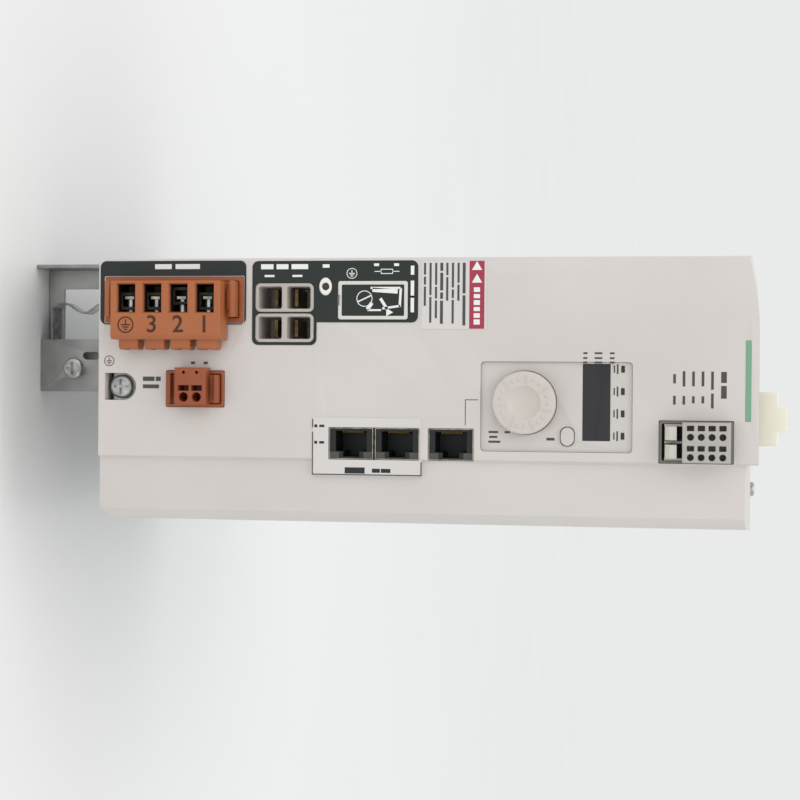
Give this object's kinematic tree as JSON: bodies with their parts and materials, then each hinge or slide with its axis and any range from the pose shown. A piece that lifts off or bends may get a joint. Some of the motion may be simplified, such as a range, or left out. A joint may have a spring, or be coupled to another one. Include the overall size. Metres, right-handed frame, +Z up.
{
  "type": "servo drive",
  "caption": "Book-style servo drive for a cabinet wall: sheet case on a finned heat sink, moulded hood with plug-in connectors, network jacks, a selector dial and a digit display.",
  "frame": {"origin": "centre of the four mounting holes, on the face that meets the cabinet wall", "axes": "+X to the drive's right seen from the front, +Y from the front to the cabinet wall, +Z up"},
  "size_m": [0.108, 0.249, 0.3061],
  "materials": {
    "galvanised_steel_sheet": "zinc-coated sheet",
    "extruded_aluminium": "mill finish",
    "black_plastic": "moulded",
    "off_white_plastic": "fine spark texture",
    "zinc_plated_steel": "bright zinc",
    "tinned_brass": "tinned",
    "green_laminate": "solder mask",
    "brass_spacer": "machined",
    "capacitor_sleeve": "shrink sleeve",
    "black_epoxy": "moulded",
    "orange_nylon": "moulded",
    "red_orange_nylon": "moulded",
    "white_nylon": "moulded",
    "bronze_blade": "tarnished",
    "white_light_pipe": "polished",
    "cover_plastic": "moulded with a dark printed field",
    "grey_nylon": "moulded",
    "tinned_steel": "tinned",
    "gold_plated_wire": "gold plated",
    "green_lamp": "diffusing",
    "panel_plastic": "fine texture",
    "smoked_acrylic": "polished",
    "smoked_light_pipe": "polished",
    "ivory_plastic": "moulded",
    "light_grey_nylon": "moulded",
    "pale_nylon": "moulded",
    "natural_nylon": "undyed, slightly translucent",
    "spring_steel": "bright",
    "dark_green_film": "printed film",
    "pale_film": "printed film",
    "green_inlay": "moulded"
  },
  "bodies": {
    "drive": {"rear_plate": "galvanised_steel_sheet", "heat_sink": "extruded_aluminium", "fan_frame": "black_plastic", "sheet_case": "galvanised_steel_sheet", "front_hood": "off_white_plastic", "case_screws": "zinc_plated_steel", "mains_socket": "black_plastic", "encoder_jack": "black_plastic", "power_pins": "tinned_brass", "signal_pins": "tinned_brass", "front_board": "green_laminate", "power_board": "green_laminate", "board_spacers": "brass_spacer", "bus_capacitors": "capacitor_sleeve", "power_module": "black_epoxy", "motor_socket": "orange_nylon", "brake_socket": "orange_nylon", "bus_sockets": "white_nylon", "bus_blades": "bronze_blade", "charge_lamp": "white_light_pipe", "resistor_socket": "grey_nylon", "jack_shells": "tinned_steel", "jack_bodies": "black_plastic", "jack_contacts": "gold_plated_wire", "jack_lamps": "green_lamp", "operating_panel": "panel_plastic", "display_window": "smoked_acrylic", "display_module": "black_epoxy", "status_lights": "smoked_light_pipe", "dial_encoder": "zinc_plated_steel", "signal_socket": "grey_nylon", "supply_socket": "grey_nylon", "earth_tab": "zinc_plated_steel", "earth_screw": "zinc_plated_steel", "shield_bracket": "galvanised_steel_sheet", "clamp_spring": "spring_steel", "shield_clamp_screw": "zinc_plated_steel", "dark_labels": "dark_green_film", "pale_labels": "pale_film", "accent_strip": "green_inlay"},
    "dial_plunger": {"dial_plunger": "zinc_plated_steel"},
    "selector_dial": {"selector_dial": "ivory_plastic"},
    "escape_key": {"escape_key": "ivory_plastic"},
    "motor_plug": {"motor_plug": "orange_nylon", "plug_contacts": "tinned_brass"},
    "brake_plug": {"brake_plug": "red_orange_nylon"},
    "signal_plug": {"signal_plug": "light_grey_nylon"},
    "signal_lever_left": {"signal_lever_left": "pale_nylon"},
    "signal_lever_right": {"signal_lever_right": "pale_nylon"},
    "supply_plug": {"supply_plug": "natural_nylon"},
    "resistor_cover": {"resistor_cover": "cover_plastic"},
    "fan_rotor": {"fan_rotor": "black_plastic"},
    "clamp_screw_1": {"clamp_screw_1": "zinc_plated_steel"},
    "clamp_yoke_1": {"clamp_yoke_1": "zinc_plated_steel"},
    "clamp_screw_2": {"clamp_screw_2": "zinc_plated_steel"},
    "clamp_yoke_2": {"clamp_yoke_2": "zinc_plated_steel"},
    "clamp_screw_3": {"clamp_screw_3": "zinc_plated_steel"},
    "clamp_yoke_3": {"clamp_yoke_3": "zinc_plated_steel"},
    "clamp_screw_4": {"clamp_screw_4": "zinc_plated_steel"},
    "clamp_yoke_4": {"clamp_yoke_4": "zinc_plated_steel"}
  },
  "joints": [
    {"name": "dial_press", "type": "slide", "parent": "drive", "child": "dial_plunger", "axis": [0, 1, 0], "range_m": [0, 0.0008], "stiffness_N_per_m": 3000, "springref_m": -0.0005},
    {"name": "dial_turn", "type": "hinge", "parent": "dial_plunger", "child": "selector_dial", "pos_m": [0.0042, -0.2358, 0.03955], "axis": [0, 1, 0], "continuous": true},
    {"name": "escape_press", "type": "slide", "parent": "drive", "child": "escape_key", "axis": [0, 1, 0], "range_m": [0, 0.0005], "stiffness_N_per_m": 2000, "springref_m": -0.0005},
    {"name": "motor_plug_pull", "type": "slide", "parent": "drive", "child": "motor_plug", "axis": [0, -1, 0], "range_m": [0, 0.04]},
    {"name": "brake_plug_pull", "type": "slide", "parent": "drive", "child": "brake_plug", "axis": [0, -1, 0], "range_m": [0, 0.03]},
    {"name": "signal_plug_pull", "type": "slide", "parent": "drive", "child": "signal_plug", "axis": [0, -1, 0], "range_m": [0, 0.03]},
    {"name": "supply_plug_pull", "type": "slide", "parent": "drive", "child": "supply_plug", "axis": [0, 0, 1], "range_m": [0, 0.03]},
    {"name": "resistor_cover_pull", "type": "slide", "parent": "drive", "child": "resistor_cover", "axis": [0, -1, 0], "range_m": [0, 0.03]},
    {"name": "fan_spin", "type": "hinge", "parent": "drive", "child": "fan_rotor", "pos_m": [0, -0.04325, -0.1133], "axis": [0, 0, 1], "continuous": true},
    {"name": "lever_left_tilt", "type": "hinge", "parent": "signal_plug", "child": "signal_lever_left", "pos_m": [0.0148, -0.234, 0.09296], "axis": [1, 0, 0], "range_deg": [0, 8], "stiffness_Nm_per_rad": 0.02, "springref_deg": -5.73},
    {"name": "lever_right_tilt", "type": "hinge", "parent": "signal_plug", "child": "signal_lever_right", "pos_m": [0.0214, -0.234, 0.09296], "axis": [1, 0, 0], "range_deg": [0, 8], "stiffness_Nm_per_rad": 0.02, "springref_deg": -5.73},
    {"name": "clamp_screw_1_turn", "type": "hinge", "parent": "motor_plug", "child": "clamp_screw_1", "pos_m": [-0.0266, -0.2418, -0.10992], "axis": [1, 0, 0], "range_deg": [-0.5, 1800.5]},
    {"name": "clamp_yoke_1_slide", "type": "slide", "parent": "motor_plug", "child": "clamp_yoke_1", "axis": [1, 0, 0], "range_m": [-0.003, 0]},
    {"name": "clamp_screw_2_turn", "type": "hinge", "parent": "motor_plug", "child": "clamp_screw_2", "pos_m": [-0.0266, -0.2418, -0.09976], "axis": [1, 0, 0], "range_deg": [-0.5, 1800.5]},
    {"name": "clamp_yoke_2_slide", "type": "slide", "parent": "motor_plug", "child": "clamp_yoke_2", "axis": [1, 0, 0], "range_m": [-0.003, 0]},
    {"name": "clamp_screw_3_turn", "type": "hinge", "parent": "motor_plug", "child": "clamp_screw_3", "pos_m": [-0.0266, -0.2418, -0.0896], "axis": [1, 0, 0], "range_deg": [-1200.5, 600.5]},
    {"name": "clamp_yoke_3_slide", "type": "slide", "parent": "motor_plug", "child": "clamp_yoke_3", "axis": [1, 0, 0], "range_m": [-0.001, 0.002]},
    {"name": "clamp_screw_4_turn", "type": "hinge", "parent": "motor_plug", "child": "clamp_screw_4", "pos_m": [-0.0266, -0.2418, -0.07944], "axis": [1, 0, 0], "range_deg": [-0.5, 1800.5]},
    {"name": "clamp_yoke_4_slide", "type": "slide", "parent": "motor_plug", "child": "clamp_yoke_4", "axis": [1, 0, 0], "range_m": [-0.003, 0]}
  ],
  "couplings": [
    {"joint": "clamp_screw_1_turn", "follows": "clamp_yoke_1_slide", "rad_per_m": -10472},
    {"joint": "clamp_screw_2_turn", "follows": "clamp_yoke_2_slide", "rad_per_m": -10472},
    {"joint": "clamp_screw_3_turn", "follows": "clamp_yoke_3_slide", "rad_per_m": -10472},
    {"joint": "clamp_screw_4_turn", "follows": "clamp_yoke_4_slide", "rad_per_m": -10472}
  ]
}
